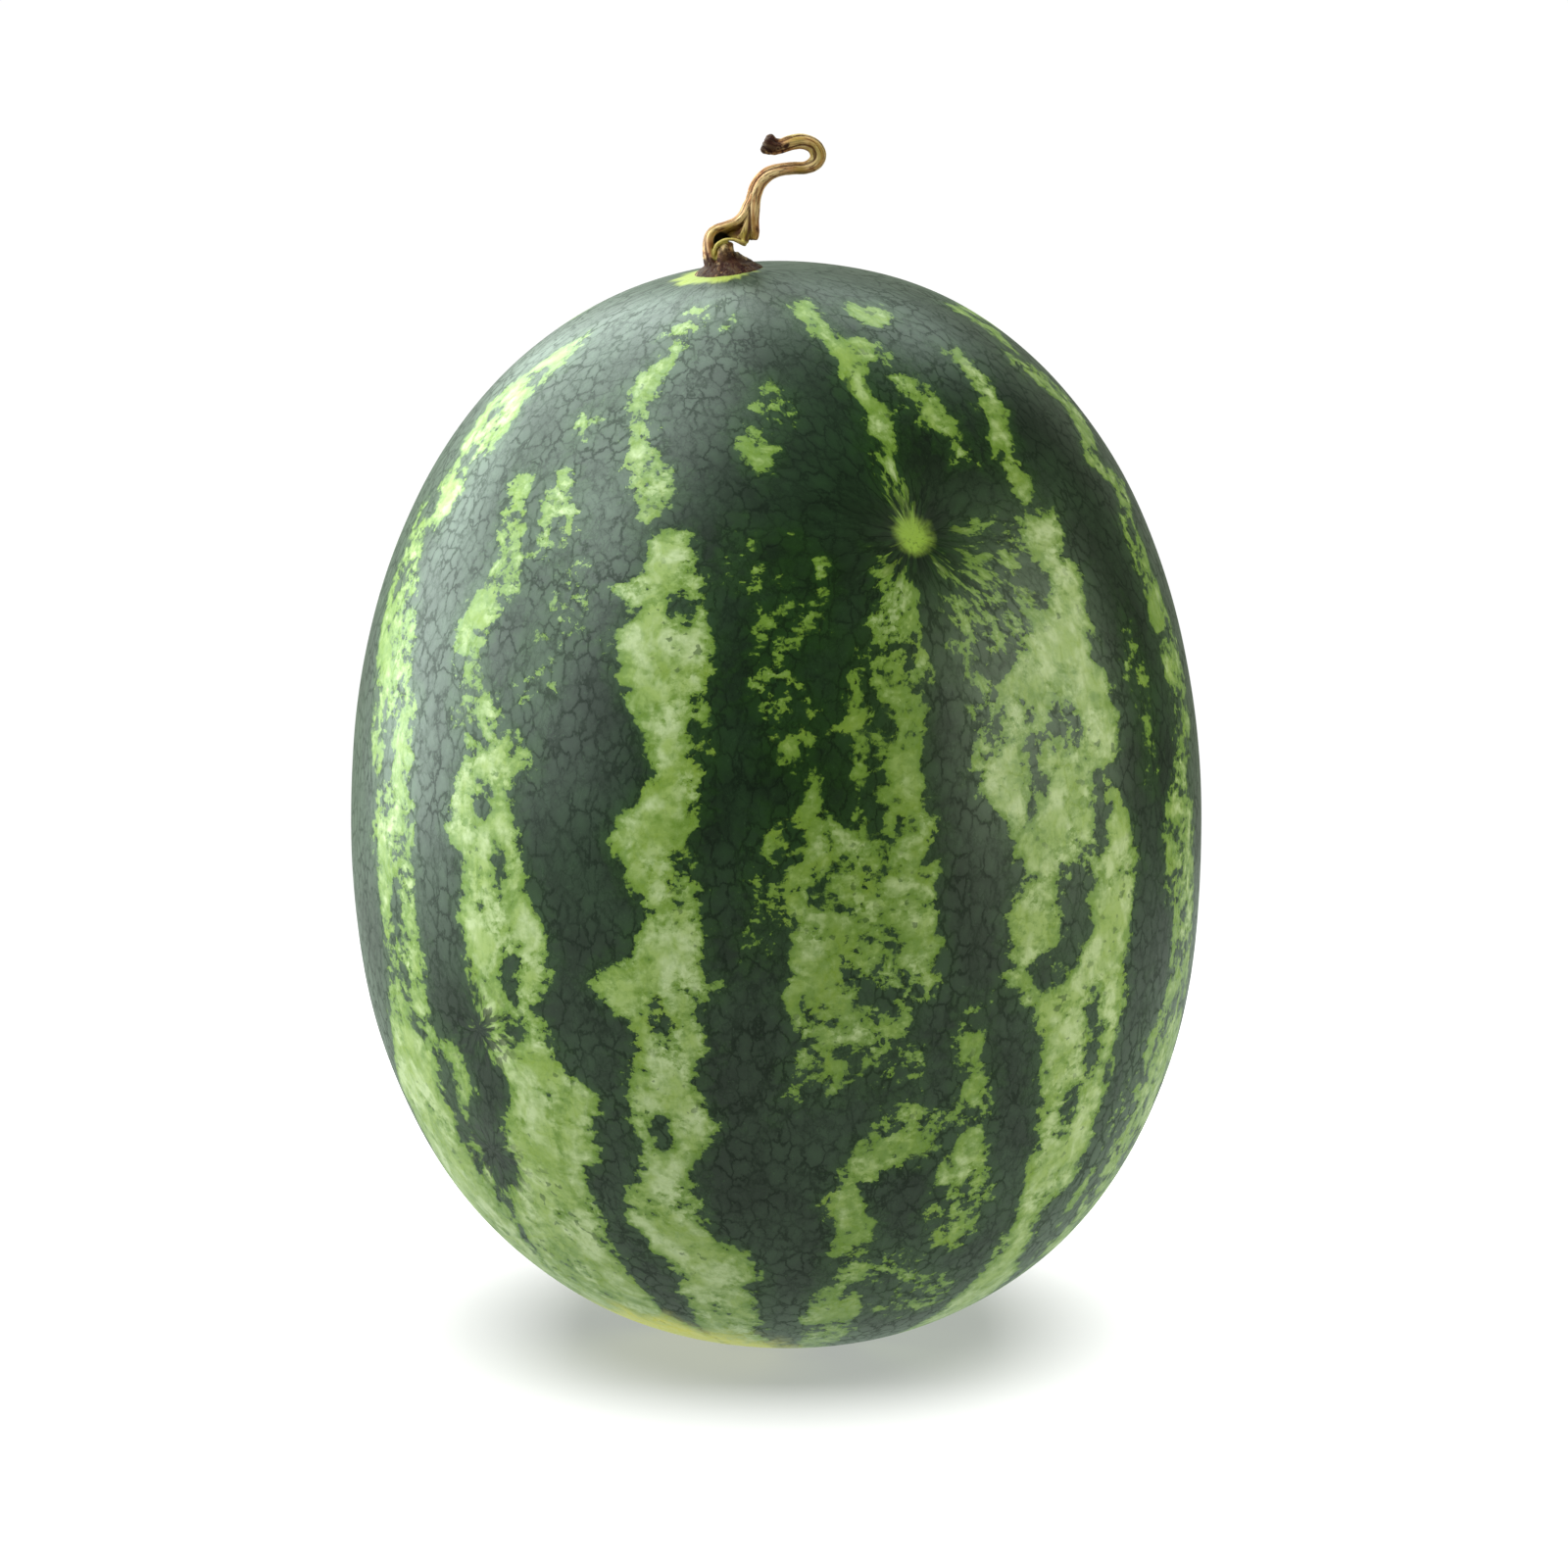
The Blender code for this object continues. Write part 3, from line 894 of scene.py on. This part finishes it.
# Grow the strands into one skin, and melt the joins between them.
strands = bpy.data.objects.new("strands", strands_mesh)
bpy.context.scene.collection.objects.link(strands)
merge = strands.modifiers.new("one_skin", "REMESH")
merge.mode = "VOXEL"
merge.voxel_size = STEM_VOXEL * MM
melt = strands.modifiers.new("melt", "SMOOTH")
melt.factor = 0.5
melt.iterations = 5
grown = strands.evaluated_get(bpy.context.evaluated_depsgraph_get())
stem_mesh = bpy.data.meshes.new_from_object(grown)
stem_mesh.name = "dried_stem"
bpy.data.objects.remove(strands)

count = len(stem_mesh.vertices)
bark = np.empty(count * 3)
stem_mesh.vertices.foreach_get("co", bark)
bark = bark.reshape(-1, 3) / MM
facing = np.empty(count * 3)
stem_mesh.vertex_normals.foreach_get("vector", facing)
facing = facing.reshape(-1, 3)

# Where each point lies on the strap or the stalk: how far along it, and which way round.
routes = [smooth_route(STRAP), smooth_route(STALK)]
places = np.concatenate([route[:, :3] for route in routes])
frames = [strand_frames(route) for route in routes]
sideways = np.concatenate([pair[0] for pair in frames])
deep = np.concatenate([pair[1] for pair in frames])
strand_length = []
for route in routes:
    steps = np.linalg.norm(np.diff(route[:, :3], axis=0), axis=1)
    strand_length.append(np.concatenate([[0], np.cumsum(steps)]))
strand_length = np.concatenate(strand_length)
tree = kdtree.KDTree(len(places))
for index, point in enumerate(places):
    tree.insert(point, index)
tree.balance()
nearest = np.array([tree.find(point)[1] for point in bark])
away = bark - places[nearest]
round_it = np.arctan2((away * deep[nearest]).sum(1), (away * sideways[nearest]).sum(1))
along_it = strand_length[nearest]
on_foot = 1 - smooth_step(bark[:, 2], 0.6, 2.4)
round_foot = np.arctan2(bark[:, 1], bark[:, 0])

# Dried ribs run along the strands, and pleats run down the foot. Heights are in millimetres.
sway = np.array([folds.noise(Vector((length * 0.09, 0.0, 3.0))) for length in strand_length])[nearest]
rough = np.array([folds.noise(Vector(point * 0.9)) for point in bark])
ribs = np.abs(np.cos(2.0 * round_it + 1.4 * sway + 0.5)) ** 0.7
fine_ribs = np.abs(np.cos(6.5 * round_it + 3.0 * sway))
pleats = np.abs(np.cos(4.5 * round_foot + 1.5 * rough)) ** 0.7
rib_height = (1 - on_foot) * (0.50 * ribs + 0.08 * fine_ribs - 0.40) + on_foot * (0.35 * pleats - 0.25)
knob = np.exp(-(((bark[:, 0] - 12.0) ** 2 + (bark[:, 2] - 36.4) ** 2) / 3.4**2))
lip_route = smooth_route(LIP)[:, :3]
lip_away = np.array([np.linalg.norm(lip_route - point, axis=1).min() for point in bark])
on_lip = 1 - smooth_step(lip_away, 0.7, 1.4)
rib_height *= 1 - 0.85 * on_lip
rib_height += rough * (0.05 + 0.25 * knob + 0.12 * on_foot)
bark = bark + facing * rib_height[:, None]


def patches(spots):
    """How strongly each point is marked by soft round spots."""
    total = np.zeros(count)
    for x, z, radius, strength in spots:
        near = np.exp(-(((bark[:, 0] - x) ** 2 + (bark[:, 2] - z) ** 2) / radius**2))
        total = np.maximum(total, near * strength)
    return total


# Painted shade darkens the split's inside: behind the lip and under the strap.
split = np.exp(-(((bark[:, 0] + 2.6) / 3.4) ** 2 + ((bark[:, 2] - 8.6) / 1.9) ** 2))
split *= smooth_step(bark[:, 1], -2.6, -1.0) * (1 - smooth_step(bark[:, 1], 1.4, 2.4)) * (1 - on_lip)
fibre = np.stack([np.cos(round_it) * 2.2, np.sin(round_it) * 2.2, along_it * 0.14], axis=1)
foot_fibre = np.stack([np.cos(round_foot) * 7.0, np.sin(round_foot) * 7.0, bark[:, 2] * 0.3 + 40], axis=1)
fibre = np.where(on_foot[:, None] > 0.5, foot_fibre, fibre)
marks = {
    "purple": patches(PURPLE_PLACES),
    "russet": patches(RUSSET_PLACES),
    "olive": patches(OLIVE_PLACES),
    "lip": on_lip,
    "split": split,
    # painted shade in the grooves between the ribs and between the pleats
    "groove_shade": np.clip(1 - (1 - on_foot) * ribs - on_foot * pleats, 0, 1),
}

# As it dried, the whole stem slumped a little, and leaned over its foot.
bark[:, 0] -= STEM_LEAN * bark[:, 2]
bark[:, 2] *= STEM_SETTLING
stem_mesh.vertices.foreach_set("co", (bark * MM).ravel())
stem_mesh.update()
stem_mesh.shade_smooth()
for name, values in marks.items():
    stem_mesh.attributes.new(name, "FLOAT", "POINT").data.foreach_set("value", values)
stem_mesh.attributes.new("fibre", "FLOAT_VECTOR", "POINT").data.foreach_set("vector", fibre.ravel())
dried_stem = bpy.data.objects.new("dried_stem", stem_mesh)
dried_stem.location = STEM_FOOT
bpy.context.scene.collection.objects.link(dried_stem)
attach(dried_stem, "root")
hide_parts("stem")

TAN = colour(0.58, 0.27, 0.12)
STRAW = colour(0.88, 0.58, 0.32)
BROWN = colour(0.085, 0.020, 0.012)
OLIVE = colour(0.32, 0.22, 0.020)
PURPLE_BROWN = colour(0.024, 0.004, 0.006)
RUSSET = colour(0.36, 0.10, 0.055)
LIP_YELLOW = colour(0.60, 0.46, 0.13)
SPLIT_SHADE = colour(0.020, 0.014, 0.003)


def build_stem_finish():
    material, shader, start = new_finish("dried_vine")

    def mark(name, output="Fac"):
        return start.node("ShaderNodeAttribute", {"attribute_name": name}, None, output)

    fibre_place = mark("fibre", "Vector")
    groove_shade = mark("groove_shade")
    place = start.node("ShaderNodeTexCoord", None, None, "Object").scaled(1 / MM, 1 / MM, 1 / MM)
    streaks = fibre_place.speckle(0.55, 4.0, 0.6)
    bands = fibre_place.speckle(1.5, 2.0, 0.5)
    mottle = place.speckle(1.8, 4.0, 0.6)

    skin_colour = bands.between(0.38, 0.62).blend(TAN, STRAW)
    reddish = (mottle.between(0.50, 0.72) * 0.6).most(mark("russet") * mottle.between(0.25, 0.55) * 0.85)
    skin_colour = skin_colour.mixed(RUSSET, reddish)
    skin_colour = skin_colour.mixed(OLIVE, mark("olive") * 0.9)
    skin_colour = skin_colour.mixed(BROWN, streaks.between(0.50, 0.66) * 0.8)
    # Painted shade in the grooves between the ribs and between the pleats.
    skin_colour = skin_colour.mixed(BROWN, groove_shade.between(0.35, 0.85) * 0.85)
    purple = (mark("purple") + (mottle - 0.5) * 1.6).between(0.20, 0.65)
    skin_colour = skin_colour.mixed(PURPLE_BROWN, purple * (0.97 - streaks.between(0.45, 0.7) * 0.25))
    skin_colour = skin_colour.mixed(LIP_YELLOW, mark("lip") * 0.8)
    # Painted shade inside the split.
    skin_colour = skin_colour.mixed(SPLIT_SHADE, mark("split").between(0.15, 0.55))
    connect(shader, "Base Color", skin_colour)
    connect(shader, "Roughness", streaks * 0.2 + 0.45)
    shader.inputs["Specular IOR Level"].default_value = 0.1
    height = streaks + mottle
    bump = height.node("ShaderNodeBump", None, {"Height": height, "Strength": 0.5, "Distance": 0.2 * MM})
    connect(shader, "Normal", bump)
    return material


stem_mesh.materials.clear()
stem_mesh.materials.append(build_stem_finish())


# ---------------------------------------------------------------------------------------------
# Studio. A white table under a light of its own, which gives the fruit its soft shadow, big soft
# boxes that light only the fruit, and a white surround.

TABLE_RADIUS = 0.8
TABLE_FADES = (0.30, 0.75)
TABLE_GAP = 0.0002
FRUIT_MIDDLE = (0.0, 0.0, 0.17)
LIGHT_DISTANCE = 1.3

# What the table gives off: towards the fruit, and as it is seen.
TABLE_GLOW = colour(0.53, 0.66, 0.54)
TABLE_SEEN_GLOW = colour(0.415, 0.440, 0.406)


def add_light(name, direction, width, height, watts, tint=(1, 1, 1)):
    """A soft box in this direction from the fruit: degrees round it from the front, and degrees up."""
    round_it, up = map(math.radians, direction)
    level = math.cos(up)
    place = Vector((math.sin(round_it) * level, -math.cos(round_it) * level, math.sin(up))) * LIGHT_DISTANCE
    place += Vector(FRUIT_MIDDLE)
    light = bpy.data.lights.new(name, "AREA")
    light.shape = "RECTANGLE"
    light.size = width
    light.size_y = height
    light.energy = watts
    light.color = tint
    lamp = bpy.data.objects.new(name, light)
    lamp.location = place
    lamp.rotation_euler = (Vector(FRUIT_MIDDLE) - place).to_track_quat("-Z", "Y").to_euler()
    lamp.visible_camera = False
    bpy.context.scene.collection.objects.link(lamp)
    return lamp


LEFT_TINT = (0.84, 1.0, 0.92)
RIGHT_TINT = (0.86, 1.0, 0.76)
fruit_lights = [
    add_light("left_softbox", (-103, 11), 1.2, 0.9, 12, LEFT_TINT),
    add_light("left_sheen", (-105, 4), 1.2, 0.9, 9.5, LEFT_TINT),
    add_light("left_front", (-60, 18), 0.6, 0.8, 6.5, LEFT_TINT),
    add_light("left_high", (-75, 45), 1.0, 0.6, 12.5, LEFT_TINT),
    add_light("left_behind", (-138, 38), 1.0, 0.9, 12, LEFT_TINT),
    add_light("overhead_left", (-92, 70), 0.9, 0.6, 8.5, LEFT_TINT),
    add_light("overhead_back", (174, 56), 1.3, 0.6, 7, LEFT_TINT),
    add_light("right_softbox", (71, 12), 1.2, 0.9, 13, RIGHT_TINT),
    add_light("back_wall", (180, 10), 2.6, 1.4, 5, RIGHT_TINT),
]

# This one only glances off the wax.
bpy.data.objects["left_sheen"].visible_diffuse = False
table_light = add_light("table_light", (0, 90), 2.4, 2.4, 400)

table_mesh = bpy.data.meshes.new("table")
bm = bmesh.new()
bmesh.ops.create_circle(bm, cap_ends=True, segments=96, radius=TABLE_RADIUS)
bm.to_mesh(table_mesh)
bm.free()
table = bpy.data.objects.new("table", table_mesh)
table.location.z = -TABLE_GAP
bpy.context.scene.collection.objects.link(table)

white, shader, start = new_finish("white_table")
seen = start.node("ShaderNodeLightPath", None, None, "Is Camera Ray")
connect(shader, "Base Color", seen * 0.13 + 0.02)
connect(shader, "Emission Color", seen.blend(TABLE_GLOW, TABLE_SEEN_GLOW))
shader.inputs["Emission Strength"].default_value = 1.0
shader.inputs["Roughness"].default_value = 0.9
shader.inputs["Specular IOR Level"].default_value = 0.1
spot = start.node("ShaderNodeTexCoord", None, None, "Object")
away = spot.vector("LENGTH", spot, output=1)
solid_table = (1 - away.between(*TABLE_FADES)).most(1 - seen)
connect(shader, "Alpha", solid_table)
table_mesh.materials.append(white)

# The table's light falls on the table alone, and the others on the fruit alone.
only_table = bpy.data.collections.new("only_table")
only_table.objects.link(table)
table_light.light_linking.receiver_collection = only_table
only_fruit = bpy.data.collections.new("only_fruit")
for piece in [rind, dried_stem, *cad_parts.values()]:
    only_fruit.objects.link(piece)
for lamp in fruit_lights:
    lamp.light_linking.receiver_collection = only_fruit

world = bpy.data.worlds.new("studio")
world.use_nodes = True
bpy.context.scene.world = world
sky = Wire(world.node_tree, None)
seen = sky.node("ShaderNodeLightPath", None, None, "Is Camera Ray")
background = world.node_tree.nodes["Background"]
connect(background, "Strength", seen * 1.02)
background.inputs["Color"].default_value = colour(1, 1, 1)
